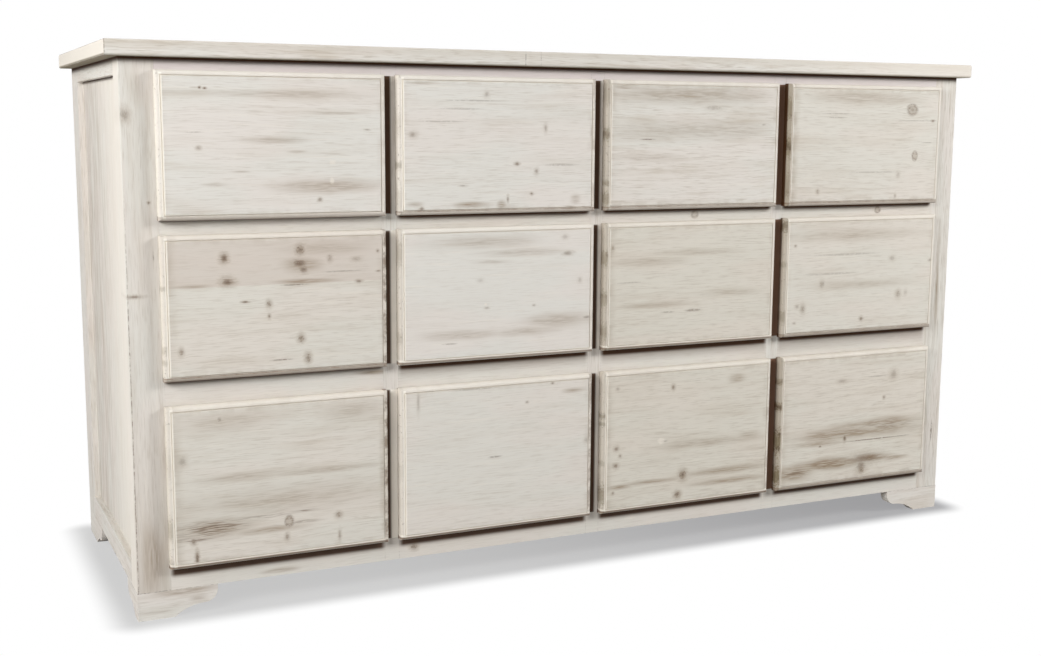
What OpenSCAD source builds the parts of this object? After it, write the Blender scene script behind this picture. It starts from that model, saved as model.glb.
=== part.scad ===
// Floor-standing storage cabinet in whitewashed pine.
// Twelve lipped drawers in three rows of four, a face frame, panelled sides and bracket feet.
// The origin is on the floor under the middle of the closed cabinet. The drawers open along -Y.

/* [Case] */
// Width across the two corner posts
case_w = 1640; // [1200:10:2000]
// Depth from the face frame to the back panel
case_d = 547; // [420:1:700]

/* [Top board] */
// Thickness of the top board
top_t = 25; // [18:1:40]
// How far the top board stands out past each side
top_side_overhang = 22; // [5:1:40]
// How far the top board stands out past the face frame
top_front_overhang = 16; // [5:1:16]
// Radius of the eased edges of the top board
top_ease = 3; // [1:0.5:6]

/* [Drawer layout] */
// Height of the fronts in the top row
top_row_h = 230; // [120:1:320]
// Height of the fronts in the middle row
middle_row_h = 230; // [120:1:320]
// Height of the fronts in the bottom row
bottom_row_h = 265; // [120:1:360]
// Gap between the top row and the top board
top_gap = 19; // [12:1:60]
// Gap between the top row and the middle row
upper_gap = 23; // [12:1:60]
// Gap between the middle row and the bottom row
lower_gap = 40; // [12:1:60]
// Gap between the bottom row and the feet
bottom_gap = 37; // [26:1:80]
// Gap between two neighbouring fronts of a row
column_gap = 22; // [18:1:60]
// Gap between the outer fronts and the sides of the case
side_gap = 51; // [40:1:90]

/* [Drawer fronts] */
// How far a front laps over the face frame on each edge
lip = 2; // [1:0.5:6]
// How far the field of a front stands out from the face frame
front_proud = 17; // [17:0.5:24]
// Radius of the quarter round along the edges of a front
round_r = 5.5; // [3:0.5:8]
// Width of the flat ridge between the quarter round and the quirk
ridge_w = 1.6; // [1:0.1:3]
// Width of the quirk, the fine groove beside the field
quirk_w = 1.6; // [1:0.1:3]
// Depth of the quirk
quirk_d = 1.6; // [0.5:0.1:3]
// How far the field rises above the ridge
field_rise = 0.5; // [0.2:0.1:1.5]
// Thickness of the part of a front that enters the opening
core_t = 8; // [6:0.5:14]

/* [Drawer boxes] */
// Depth of a drawer box behind the face of the frame
box_d = 480; // [300:1:500]
// Thickness of the drawer sides
box_side_t = 12; // [9:0.5:18]
// Thickness of the drawer backs
box_back_t = 10; // [8:0.5:18]
// Thickness of the drawer bottoms
box_bottom_t = 6; // [4:0.5:9]
// Height of the drawer bottom above the lower edge of the sides
bottom_rise = 10; // [8:1:20]
// Depth of the groove that holds the drawer bottom
bottom_groove = 5; // [3:0.5:6]
// Radius of the rounded upper edges of the drawer sides
side_round = 4; // [2:0.5:4.5]
// Gap between a drawer back and the bottom panel under it
back_lift = 0.5; // [0.2:0.1:2]
// Height of one dovetail and its neighbouring pin
tail_pitch = 44; // [30:1:70]
// Slope of the dovetails, as their widening over their length
tail_flare = 1.6; // [0.5:0.1:3]
// Height of a dovetail at its narrow end, as a share of the pitch
tail_share = 0.6; // [0.4:0.05:0.7]

/* [Running clearances] */
// Gap on each side of a drawer box in its opening
side_clear = 1.5; // [0.5:0.1:3]
// Gap between a drawer side and its runner
run_clear = 0.3; // [0.2:0.1:1]
// Gap between the top of a drawer side and the rail above it
top_clear = 5; // [2:0.5:10]

/* [Frame] */
// Thickness of the face frame
face_t = 22; // [18:1:30]
// Depth of the corner posts
post_d = 50; // [40:1:70]
// Width of the back posts, seen from the side
back_post_w = 75; // [50:1:100]
// Thickness of the back posts and side rails
side_t = 22; // [20:1:30]
// Height of the side frames' top rails
side_top_rail_h = 26; // [20:1:60]
// Height of the side frames' bottom rails
side_bottom_rail_h = 41; // [30:1:80]
// Thickness of the side panels and of the tenons
panel_t = 8; // [6:1:10]
// How far the side panels lie behind the faces of their frames
panel_recess = 10; // [6:1:11]
// How far the side panels reach into their grooves
panel_seat = 8; // [5:1:12]
// Room left in the grooves for the panels to move
panel_play = 1; // [0.5:0.5:3]
// Length of the tenons into the posts
long_tenon = 20; // [12:1:28]
// Length of the tenons into the mid stiles
short_tenon = 9; // [5:0.5:10]
// Height of the shoulders above and below a rail's tenon, as a share of the rail
shoulder_share = 0.15; // [0.1:0.01:0.25]
// Width of a mid stile's tenon, as a share of the stile
stile_tenon_share = 0.6; // [0.4:0.05:0.8]
// Radius of the eased upright edges of the posts
post_ease = 2; // [1:0.5:4]

/* [Inside] */
// Width of the runner under each drawer side
ledge_w = 16; // [12.5:0.5:24]
// Height of the lowest runners
low_runner_h = 20; // [14:1:24]
// Height of the guides above the runners
guide_h = 15; // [10:1:30]
// Thickness of the back rails
back_rail_t = 20; // [16:1:26]
// Thickness of the back panel
back_panel_t = 8; // [6:1:10]
// Width of the rebate that holds the back panel
back_rebate = 10; // [6:1:12]
// Thickness of the bottom board
bottom_board_t = 8; // [6:1:10]

/* [Feet] */
// Height of the feet
foot_h = 46; // [40:1:90]
// Thickness of the foot boards
foot_t = 20; // [16:1:24]
// Length of the foot boards on the front
foot_front_l = 128; // [110:1:200]
// Length of the front feet along the sides
foot_side_l = 98; // [95:1:160]
// Length of the back feet along the sides
foot_back_l = 156; // [110:1:220]
// Length of the back feet along the back
foot_rear_l = 110; // [100:1:160]
// Radius of the quarter round at the top of the foot curve
foot_round_r = 20; // [12:1:20]
// Length of the hollow below the quarter round
foot_cove_l = 50; // [30:1:52]
// Height of the straight drop above the quarter round
foot_drop = 8; // [4:1:12]
// Gap between the corner blocks and the floor
block_lift = 4; // [2:1:10]

/* [Hidden] */
$fn = 64;
columns = 4;
rows = 3;
eps = 1;  // overrun of a cutting shape past a face
half_w = case_w / 2;
face_y = (front_proud - case_d) / 2;  // front plane of the face frame
pitch = (case_w - 2 * side_gap + column_gap) / columns;
front_w = pitch - column_gap;
opening_w = front_w - 2 * lip;
mid_w = column_gap + 2 * lip;
post_w = side_gap + lip;

// Lower edge and height of the fronts in each row, from the top row to the bottom row
bottom_row_z = foot_h + bottom_gap;
middle_row_z = bottom_row_z + bottom_row_h + lower_gap;
top_row_z = middle_row_z + middle_row_h + upper_gap;
row_z = [top_row_z, middle_row_z, bottom_row_z];
row_h = [top_row_h, middle_row_h, bottom_row_h];
body_h = top_row_z + top_row_h + top_gap;

// Lower and upper edge of the openings in each row
sill_z = [for (z = row_z) z + lip];
head_z = [for (i = [0 : rows - 1]) row_z[i] + row_h[i] - lip];

// Lower edge of the runners under each row: they fill the height of the rail, except the lowest
runner_z = [head_z[1], head_z[2], sill_z[2] - low_runner_h];

// Y of the main planes, measured from the face of the frame
back_panel_y = case_d - back_panel_t;
back_rail_y = back_panel_y - back_rail_t;
back_post_y = case_d - back_post_w;

// Position of the tenons in the thickness of the face rails
face_tenon_y = (face_t - panel_t) / 2;

// Columns and stiles count from the left
function column_x(c) = (c - (columns + 1) / 2) * pitch;
function stile_x(k) = (k - columns / 2) * pitch;
function front_name(r, c) = str("drawer_front_r", r, "c", c);
function sides_name(r, c) = str("drawer_sides_r", r, "c", c);
function panels_name(r, c) = str("drawer_panels_r", r, "c", c);

case_nodes = [
    "top_board", "corner_post_left", "corner_post_right", "back_post_left", "back_post_right",
    "face_top_rail", "face_bottom_rail", "mid_stiles", "upper_rails", "lower_rails",
    "side_top_rails", "side_bottom_rails", "side_panels", "back_rails", "back_panel",
    "runners", "guides", "top_kickers", "bottom_board",
    "foot_fronts", "foot_sides_front", "foot_sides_back", "foot_backs", "foot_blocks"
];

// Colours of the whitewashed outside and the bare pine inside
washed = [0.86, 0.84, 0.79];
washed_front = [0.88, 0.86, 0.81];
bare = [0.80, 0.70, 0.54];

// ---- helpers ----

// A block between two opposite corners, with Y measured from the face of the frame
module block(from, to) {
    translate([from.x, face_y + from.y, from.z])
        cube(to - from);
}

// Draws a piece of the right-hand side and its mirror image on the left
module both_sides() {
    children();
    mirror([1, 0, 0]) children();
}

// An outline in X and Z, drawn through the cabinet from front to back
module through_y(y0, y1) {
    translate([0, face_y + y1, 0])
        rotate([90, 0, 0])
            linear_extrude(y1 - y0)
                children();
}

// An outline in Y and Z, drawn along X
module along_x(x0, x1) {
    translate([x0, face_y, 0])
        rotate([90, 0, 90])
            linear_extrude(x1 - x0)
                children();
}

// A rectangle from the origin, with the two corners at its far end in X rounded
module eased_rect(size, r) {
    square([size.x - r, size.y]);
    translate([size.x - r, r])
        square([r, size.y - 2 * r]);
    for (y = [r, size.y - r])
        translate([size.x - r, y])
            intersection() {
                circle(r);
                translate([0, -r]) square([r, 2 * r]);
            }
}

// ---- top ----

module top_board() {
    w = case_w + 2 * top_side_overhang;
    d = case_d + top_front_overhang;
    color(washed)
        intersection() {
            // eased front edge
            along_x(-w / 2, w / 2)
                translate([case_d, body_h])
                    mirror([1, 0])
                        eased_rect([d, top_t], top_ease);
            // eased end edges
            through_y(-top_front_overhang - eps, case_d + eps)
                translate([0, body_h])
                    union() {
                        eased_rect([w / 2, top_t], top_ease);
                        mirror([1, 0]) eased_rect([w / 2, top_t], top_ease);
                    }
        }
}

// ---- tenons ----

// Tenon of a face rail, reaching in from x0 to x1
module face_tenon(x0, x1, z0, z1) {
    shoulder = (z1 - z0) * shoulder_share;
    block([x0, face_tenon_y, z0 + shoulder], [x1, face_tenon_y + panel_t, z1 - shoulder]);
}

// A rail between x0 and x1, with a tenon of length l at both ends
module rail_with_tenons(x0, x1, z0, z1, l) {
    block([x0, 0, z0], [x1, face_t, z1]);
    face_tenon(x0 - l, x0, z0, z1);
    face_tenon(x1, x1 + l, z0, z1);
}

// Tenons at the two ends of a mid stile, into the top rail and the bottom rail
module stile_tenons(k) {
    x = stile_x(k);
    w = mid_w * stile_tenon_share;
    for (z = [[sill_z[2] - short_tenon, sill_z[2]], [head_z[0], head_z[0] + short_tenon]])
        block([x - w / 2, face_tenon_y, z[0]], [x + w / 2, face_tenon_y + panel_t, z[1]]);
}

// Tenon of a side rail on the right-hand side, between y0 and y1
module side_tenon(y0, y1, z0, z1) {
    block([half_w - panel_recess - panel_t, y0, z0], [half_w - panel_recess, y1, z1]);
}

// ---- face frame ----

// A long rail from post to post
module long_rail(z0, z1) {
    x = half_w - post_w;
    rail_with_tenons(-x, x, z0, z1, long_tenon);
}

module face_top_rail() {
    color(washed)
        difference() {
            long_rail(head_z[0], body_h);
            for (k = [1 : columns - 1]) stile_tenons(k);
        }
}

module face_bottom_rail() {
    color(washed)
        difference() {
            long_rail(foot_h, sill_z[2]);
            for (k = [1 : columns - 1]) stile_tenons(k);
        }
}

// Short rails between the posts and the mid stiles, at one level
module short_rails(z0, z1) {
    for (c = [1 : columns]) {
        x = column_x(c);
        rail_with_tenons(x - opening_w / 2, x + opening_w / 2, z0, z1, short_tenon);
    }
}

module upper_rails() {
    color(washed) short_rails(head_z[1], sill_z[0]);
}

module lower_rails() {
    color(washed) short_rails(head_z[2], sill_z[1]);
}

module mid_stiles() {
    color(washed)
        difference() {
            for (k = [1 : columns - 1]) {
                block([stile_x(k) - mid_w / 2, 0, sill_z[2]], [stile_x(k) + mid_w / 2, face_t, head_z[0]]);
                stile_tenons(k);
            }
            short_rails(head_z[1], sill_z[0]);
            short_rails(head_z[2], sill_z[1]);
        }
}

// ---- posts and side frames, drawn on the right-hand side ----

// Top and bottom rail of a side frame, with a groove for the panel
module side_rail(z0, z1) {
    difference() {
        union() {
            block([half_w - side_t, post_d, z0], [half_w, back_post_y, z1]);
            side_tenon(post_d - long_tenon, post_d, z0, z1);
            side_tenon(back_post_y, back_post_y + long_tenon, z0, z1);
        }
        panel_groove();
    }
}

module top_side_rail() {
    side_rail(body_h - side_top_rail_h, body_h);
}

module bottom_side_rail() {
    side_rail(foot_h, foot_h + side_bottom_rail_h);
}

// The groove runs round the panel with room for it to move
module panel_groove() {
    grow = panel_seat + panel_play;
    block([half_w - panel_recess - panel_t, post_d - grow, foot_h + side_bottom_rail_h - grow],
          [half_w - panel_recess, back_post_y + grow, body_h - side_top_rail_h + grow]);
}

module side_panel() {
    block([half_w - panel_recess - panel_t, post_d - panel_seat, foot_h + side_bottom_rail_h - panel_seat],
          [half_w - panel_recess, back_post_y + panel_seat, body_h - side_top_rail_h + panel_seat]);
}

module corner_post() {
    difference() {
        translate([half_w - post_w, face_y + post_d, foot_h])
            rotate(-90)
                linear_extrude(body_h - foot_h)
                    post_outline();
        long_rail(head_z[0], body_h);
        long_rail(foot_h, sill_z[2]);
        short_rails(head_z[1], sill_z[0]);
        short_rails(head_z[2], sill_z[1]);
        side_tenon(post_d - long_tenon, post_d, foot_h, foot_h + side_bottom_rail_h);
        side_tenon(post_d - long_tenon, post_d, body_h - side_top_rail_h, body_h);
        panel_groove();
    }
}

// Section of a corner post, with its outer corner eased; X runs forwards and Y outwards
module post_outline() {
    square([post_d - post_ease, post_w]);
    square([post_d, post_w - post_ease]);
    translate([post_d - post_ease, post_w - post_ease])
        circle(post_ease);
}

module back_post() {
    difference() {
        block([half_w - side_t, back_post_y, foot_h], [half_w, case_d, body_h]);
        side_tenon(back_post_y, back_post_y + long_tenon, foot_h, foot_h + side_bottom_rail_h);
        side_tenon(back_post_y, back_post_y + long_tenon, body_h - side_top_rail_h, body_h);
        panel_groove();
        // rebate for the back panel
        block([half_w - side_t - eps, back_panel_y, foot_h - eps],
              [half_w - side_t + back_rebate, case_d + eps, body_h + eps]);
    }
}

module corner_post_right() {
    color(washed) corner_post();
}

module corner_post_left() {
    color(washed) mirror([1, 0, 0]) corner_post();
}

module back_post_right() {
    color(washed) back_post();
}

module back_post_left() {
    color(washed) mirror([1, 0, 0]) back_post();
}

module side_top_rails() {
    color(washed) both_sides() top_side_rail();
}

module side_bottom_rails() {
    color(washed) both_sides() bottom_side_rail();
}

module side_panels() {
    color(washed) both_sides() side_panel();
}

// ---- inside of the case ----

// Back rails stand behind the runners and the top kickers
module back_rails() {
    x = half_w - side_t;
    color(bare) {
        for (i = [0 : rows - 1])
            block([-x, back_rail_y, runner_z[i]], [x, back_panel_y, sill_z[i]]);
        block([-x, back_rail_y, head_z[0]], [x, back_panel_y, body_h]);
    }
}

module back_panel() {
    x = half_w - side_t + back_rebate;
    color(bare) block([-x, back_panel_y, foot_h], [x, case_d, body_h]);
}

// A strip under or over the drawers on both sides of every stile, from z0 to z1.
// The outer strips are notched round the corner posts.
module ledges(z0, z1) {
    half_ledge = mid_w / 2 + ledge_w;
    for (k = [1 : columns - 1])
        block([stile_x(k) - half_ledge, face_t, z0], [stile_x(k) + half_ledge, back_rail_y, z1]);
    both_sides()
        difference() {
            block([half_w - post_w - ledge_w, face_t, z0], [half_w - side_t, back_rail_y, z1]);
            block([half_w - post_w, face_t - eps, z0 - eps], [half_w, post_d, z1 + eps]);
        }
}

module runners() {
    color(bare)
        for (i = [0 : rows - 1]) ledges(runner_z[i], sill_z[i]);
}

module top_kickers() {
    color(bare) ledges(head_z[0], body_h);
}

// Guides stand on the runners and keep the drawers straight
module guides() {
    color(bare)
        for (z = sill_z) {
            for (k = [1 : columns - 1])
                block([stile_x(k) - mid_w / 2, face_t, z], [stile_x(k) + mid_w / 2, back_rail_y, z + guide_h]);
            both_sides()
                block([half_w - post_w, post_d, z], [half_w - side_t, back_rail_y, z + guide_h]);
        }
}

module bottom_board() {
    x = half_w - side_t;
    z = sill_z[2] - low_runner_h;
    color(bare)
        difference() {
            block([-x, face_t, z - bottom_board_t], [x, back_panel_y, z]);
            both_sides()
                block([half_w - post_w, face_t - eps, z - bottom_board_t - eps], [half_w, post_d, z + eps]);
        }
}

// ---- feet ----

// Outline of a foot board from its corner: a drop, a quarter round and a long hollow to the floor
module foot_outline(l) {
    cusp_x = l - foot_round_r;
    round_z = foot_h - foot_drop;
    cusp_z = round_z - foot_round_r;
    // the hollow is an arc that is level at the cusp and meets the floor foot_cove_l further in
    cove_r = (foot_cove_l * foot_cove_l + cusp_z * cusp_z) / (2 * cusp_z);
    difference() {
        union() {
            square([cusp_x, foot_h]);
            translate([0, round_z]) square([l, foot_drop]);
            intersection() {
                translate([cusp_x, round_z]) circle(foot_round_r);
                square([l, foot_h]);
            }
        }
        translate([cusp_x, cusp_z - cove_r])
            circle(cove_r);
    }
}

// Everything beyond the mitre between the front board and the side board of a front foot
module beyond_mitre() {
    reach = 2 * (foot_side_l + foot_t);
    translate([half_w, face_y, -eps])
        rotate(45)
            translate([0, -reach / 2, 0])
                cube([reach, reach, foot_h + 2 * eps]);
}

module foot_front_board() {
    difference() {
        through_y(0, foot_t)
            translate([half_w, 0])
                mirror([1, 0])
                    foot_outline(foot_front_l);
        beyond_mitre();
    }
}

module foot_side_board() {
    intersection() {
        along_x(half_w - foot_t, half_w)
            foot_outline(foot_side_l);
        beyond_mitre();
    }
}

module foot_back_side_board() {
    along_x(half_w - foot_t, half_w)
        translate([case_d, 0])
            mirror([1, 0])
                foot_outline(foot_back_l);
}

module foot_back_board() {
    through_y(case_d - foot_t, case_d)
        translate([half_w - foot_t, 0])
            mirror([1, 0])
                foot_outline(foot_rear_l - foot_t);
}

module foot_fronts() {
    color(washed) both_sides() foot_front_board();
}

module foot_sides_front() {
    color(washed) both_sides() foot_side_board();
}

module foot_sides_back() {
    color(washed) both_sides() foot_back_side_board();
}

module foot_backs() {
    color(bare) both_sides() foot_back_board();
}

// Corner blocks fill the inner corners and carry the posts
module foot_blocks() {
    x1 = half_w - foot_t;
    x0 = half_w - post_w;
    color(bare)
        both_sides() {
            block([x0, foot_t, block_lift], [x1, post_d, foot_h]);
            block([x0, case_d - post_d, block_lift], [x1, case_d - foot_t, foot_h]);
        }
}

// ---- drawers ----

// Section across the edge of a front: X runs inwards from the edge, Y forwards from the frame.
// A square land, a quarter round and a ridge lie outside the raised field.
module edge_section(width) {
    ridge_y = front_proud - field_rise;
    land = ridge_y - round_r;
    border = round_r + ridge_w + quirk_w;
    square([width, land]);
    translate([round_r, 0]) square([width - 2 * round_r, ridge_y]);
    translate([border, 0]) square([width - 2 * border, front_proud]);
    for (x = [round_r, width - round_r])
        translate([x, land])
            circle(round_r);
}

// The quirk, a fine groove that runs round the field
module quirk(w, h) {
    outer = round_r + ridge_w;
    inner = outer + quirk_w;
    y0 = -front_proud - eps;
    y1 = -front_proud + field_rise + quirk_d;
    difference() {
        block([outer, y0, outer], [w - outer, y1, h - outer]);
        block([inner, y0 - eps, inner], [w - inner, y1 + eps, h - inner]);
    }
}

// Size of a drawer box in row i, outside its sides
function box_w() = opening_w - 2 * side_clear;
function box_side_h(i) = head_z[i] - sill_z[i] - run_clear - top_clear;

// Tails at the front end of a drawer side, let into the back of the front
module tails(i) {
    h = box_side_h(i);
    n = floor(h / tail_pitch);
    step = h / n;
    narrow = step * tail_share / 2;
    wide = narrow + tail_flare;
    for (j = [0 : n - 1])
        translate([0, step * (j + 0.5)])
            polygon([[0, -wide], [core_t, -narrow], [core_t, narrow], [0, wide]]);
}

// Places something drawn from the lower left corner of a box at its drawer
module at_box(i, c) {
    translate([column_x(c) - box_w() / 2, 0, sill_z[i] + run_clear])
        children();
}

module drawer_front(r, c) {
    i = r - 1;
    h = row_h[i];
    color(washed_front)
        difference() {
            union() {
                translate([column_x(c) - front_w / 2, 0, row_z[i]])
                    difference() {
                        intersection() {
                            // moulded along both upright edges
                            translate([0, face_y, 0])
                                mirror([0, 1, 0])
                                    linear_extrude(h)
                                        edge_section(front_w);
                            // moulded along the upper and lower edge
                            translate([-eps, face_y, 0])
                                rotate([90, 0, 90])
                                    linear_extrude(front_w + 2 * eps)
                                        rotate(90)
                                            edge_section(h);
                        }
                        quirk(front_w, h);
                    }
                // the core behind the lip fits the opening
                at_box(i, c)
                    block([0, -eps, 0], [box_w(), core_t, box_side_h(i)]);
            }
            at_box(i, c) {
                both_tails(i);
                // groove for the bottom panel
                bottom_sheet(i);
            }
        }
}

// The tails of both sides of a drawer
module both_tails(i) {
    for (x = [0, box_w() - box_side_t])
        along_x(x, x + box_side_t)
            tails(i);
}

// The bottom panel, seated in the grooves of the sides and the front
module bottom_sheet(i) {
    inset = box_side_t - bottom_groove;
    block([inset, core_t - bottom_groove, bottom_rise],
          [box_w() - inset, box_d, bottom_rise + box_bottom_t]);
}

// The two sides, rounded along their upper edges and grooved for the bottom panel
module drawer_sides(r, c) {
    i = r - 1;
    color(bare)
        at_box(i, c)
            difference() {
                union() {
                    for (x = [0, box_w() - box_side_t])
                        through_y(core_t, box_d)
                            translate([x, 0])
                                side_section(box_side_h(i));
                    both_tails(i);
                }
                bottom_sheet(i);
            }
}

// Section of a drawer side
module side_section(h) {
    square([box_side_t, h - side_round]);
    translate([side_round, 0]) square([box_side_t - 2 * side_round, h]);
    for (x = [side_round, box_side_t - side_round])
        translate([x, h - side_round])
            circle(side_round);
}

// The bottom panel, and the back that stands just above it between the sides
module drawer_panels(r, c) {
    i = r - 1;
    color(bare)
        at_box(i, c) {
            bottom_sheet(i);
            block([box_side_t, box_d - box_back_t, bottom_rise + box_bottom_t + back_lift],
                  [box_w() - box_side_t, box_d, box_side_h(i) - side_round]);
        }
}

// ---- what is drawn ----

top_board();
corner_post_left();
corner_post_right();
back_post_left();
back_post_right();
face_top_rail();
face_bottom_rail();
mid_stiles();
upper_rails();
lower_rails();
side_top_rails();
side_bottom_rails();
side_panels();
back_rails();
back_panel();
runners();
guides();
top_kickers();
bottom_board();
foot_fronts();
foot_sides_front();
foot_sides_back();
foot_backs();
foot_blocks();
for (r = [1 : rows], c = [1 : columns]) {
    drawer_front(r, c);
    drawer_sides(r, c);
    drawer_panels(r, c);
}
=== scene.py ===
"""A long chest of twelve drawers in pickled pine: whitewashed boards, moulded fronts, bracket feet."""

import math

import bmesh
import bpy
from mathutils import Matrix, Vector


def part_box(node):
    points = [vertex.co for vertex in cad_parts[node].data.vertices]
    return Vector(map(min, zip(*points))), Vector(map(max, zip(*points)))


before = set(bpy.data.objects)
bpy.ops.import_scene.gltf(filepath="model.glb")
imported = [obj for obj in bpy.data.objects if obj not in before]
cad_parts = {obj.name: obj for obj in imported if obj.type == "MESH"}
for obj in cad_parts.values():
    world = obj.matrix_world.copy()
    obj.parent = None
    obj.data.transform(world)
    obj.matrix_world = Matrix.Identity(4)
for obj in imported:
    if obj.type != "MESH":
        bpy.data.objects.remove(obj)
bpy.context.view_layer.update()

MM = 0.001

# ------------------------------------------------------------------ the camera

# The eye is in metres, the focal length in the photograph's pixels, the turn in degrees
PHOTO_W = 1041
EYE = (-1.1437, -2.3897, 0.7893)
FOCAL_PX = 1346.35
CAMERA_TURN = (81.466, -0.330, -25.065)
SENSOR_MM = 36.0


def place_camera():
    """The photograph's viewpoint: left of the cabinet, a little below its top."""
    camera = bpy.data.objects.new("camera", bpy.data.cameras.new("camera"))
    bpy.context.scene.collection.objects.link(camera)
    camera.data.sensor_width = SENSOR_MM
    camera.data.lens = SENSOR_MM * FOCAL_PX / PHOTO_W
    camera.location = EYE
    camera.rotation_euler = [math.radians(angle) for angle in CAMERA_TURN]
    bpy.context.scene.camera = camera


# ------------------------------------------------------------------ shader maths


class Value:
    """A socket that varies over a surface. Python's operators on it add Math nodes."""

    def __init__(self, finish, socket):
        self.finish = finish
        self.socket = socket

    def math(self, operation, *others):
        inputs = dict(enumerate(others, start=1))
        return self.finish.node("ShaderNodeMath", {"operation": operation}, {0: self, **inputs})

    def __add__(self, other):
        return self.math("ADD", other)

    def __sub__(self, other):
        return self.math("SUBTRACT", other)

    def __rsub__(self, other):
        return self.finish.node("ShaderNodeMath", {"operation": "SUBTRACT"}, {0: other, 1: self})

    def __mul__(self, other):
        return self.math("MULTIPLY", other)

    def __truediv__(self, other):
        return self.math("DIVIDE", other)

    def __abs__(self):
        return self.math("ABSOLUTE")

    def lower(self, other):
        return self.math("MINIMUM", other)

    def higher(self, other):
        return self.math("MAXIMUM", other)

    def root(self):
        return self.math("SQRT")

    def over(self, low, high):
        """Rises smoothly from 0 at low to 1 at high, or falls where low is the larger."""
        return self.finish.node(
            "ShaderNodeMapRange",
            {"interpolation_type": "SMOOTHSTEP"},
            {"Value": self, "From Min": low, "From Max": high},
        )


def paint(red, green, blue):
    """A colour as it is seen on a screen, from 0 to 255, as the shader's linear colour."""
    linear = []
    for part in (red, green, blue):
        part = part / 255
        linear.append(part / 12.92 if part <= 0.04045 else ((part + 0.055) / 1.055) ** 2.4)
    return (*linear, 1.0)


# Dry whitewash hardly shines
SHEEN = 0.06


class Finish:
    """The nodes of a material or a world. node() adds any; the rest name the ones used most."""

    def __init__(self, owner):
        self.owner = owner
        self.owner.use_nodes = True
        self.tree = self.owner.node_tree
        self.tree.nodes.clear()

    def node(self, kind, settings=None, inputs=None, output=0):
        made = self.tree.nodes.new(kind)
        for name, value in (settings or {}).items():
            setattr(made, name, value)
        for name, value in (inputs or {}).items():
            if isinstance(value, Value):
                self.tree.links.new(value.socket, made.inputs[name])
            else:
                made.inputs[name].default_value = value
        return Value(self, made.outputs[output])

    def axes(self):
        """X, Y and Z in the frame, in millimetres."""
        place = self.node("ShaderNodeTexCoord", output="Object")
        scaled = self.node("ShaderNodeVectorMath", {"operation": "SCALE"}, {0: place, "Scale": 1 / MM})
        return [self.node("ShaderNodeSeparateXYZ", {}, {0: scaled}, axis) for axis in "XYZ"]

    def vector(self, x, y, z):
        return self.node("ShaderNodeCombineXYZ", {}, {"X": x, "Y": y, "Z": z})

    def noise(self, x, y, z, detail, roughness=0.5):
        """Cloudy noise, about 0.5 on average, with lumps one unit long."""
        place = self.vector(x, y, z)
        inputs = {"Vector": place, "Scale": 1.0, "Detail": detail, "Roughness": roughness}
        return self.node("ShaderNodeTexNoise", {"noise_dimensions": "3D"}, inputs)

    def mix(self, share, first, second):
        """Two colours mixed: first where share is 0, second where it is 1."""
        inputs = {0: share, 6: first, 7: second}
        return self.node("ShaderNodeMix", {"data_type": "RGBA"}, inputs, 2)

    def surface(self, colour, roughness, normal):
        inputs = {
            "Base Color": colour,
            "Roughness": roughness,
            "Normal": normal,
            "Specular IOR Level": SHEEN,
        }
        self.end(self.node("ShaderNodeBsdfPrincipled", {}, inputs))
        return self.owner

    def end(self, shader, kind="ShaderNodeOutputMaterial"):
        """Joins the last shader to the output."""
        output = self.tree.nodes.new(kind)
        self.tree.links.new(shader.socket, output.inputs["Surface"])


# ------------------------------------------------------------------ pickled pine

WASH_COOL = paint(221, 218, 211)
WASH_WARM = paint(223, 217, 210)
WASH_THIN = paint(194, 183, 168)
WASH_CREAM = paint(232, 225, 214)
# The next colour is painted light: a pale tone put in the channels, on the left ridges and above the lower
# lips, where light falls
PAINTED_LIGHT = paint(250, 244, 233)
LILAC = paint(216, 205, 208)
GREY_FIBRE = paint(168, 155, 138)
WASH_AGED = paint(202, 193, 172)
TAN = paint(144, 124, 101)
OLIVE = paint(118, 106, 80)
BROWN = paint(108, 88, 72)
DARK_BROWN = paint(74, 55, 42)
# The next colour is painted shade: the dark brown laid where shadow falls, under the slab, beneath the
# fronts, in the channels between them and where the fronts meet the case
PAINTED_SHADE = paint(68, 39, 16)
UMBER = paint(138, 106, 87)
BARE_PINE = paint(205, 178, 140)
BARE_STREAK = paint(190, 158, 118)

GRAIN_AXES = {"X": (0, 2, 1), "Y": (1, 2, 0), "Z": (2, 0, 1)}

# How long and how wide the features of the grain are, in mm
BEND_SIZE = (330, 150)
FIBRE_SIZE = (32, 1.8)
STREAK_SIZE = (95, 4.6)
BAND_SIZE = (310, 17)
PATCH_SIZE = (120, 52)
CHIP_SIZE = (6, 3)
HUE_SIZE = (210, 64)
HUE_SHIFT = 7.3

# How far the grain wanders across and into the board, and how deep its relief is, in mm
BEND_ACROSS = 11
BEND_DEEP = 8
RELIEF = 0.25

# How far the grain is pushed aside by a knot, as a share of the way to the knot's middle
KNOT_PUSH = 0.55


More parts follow.
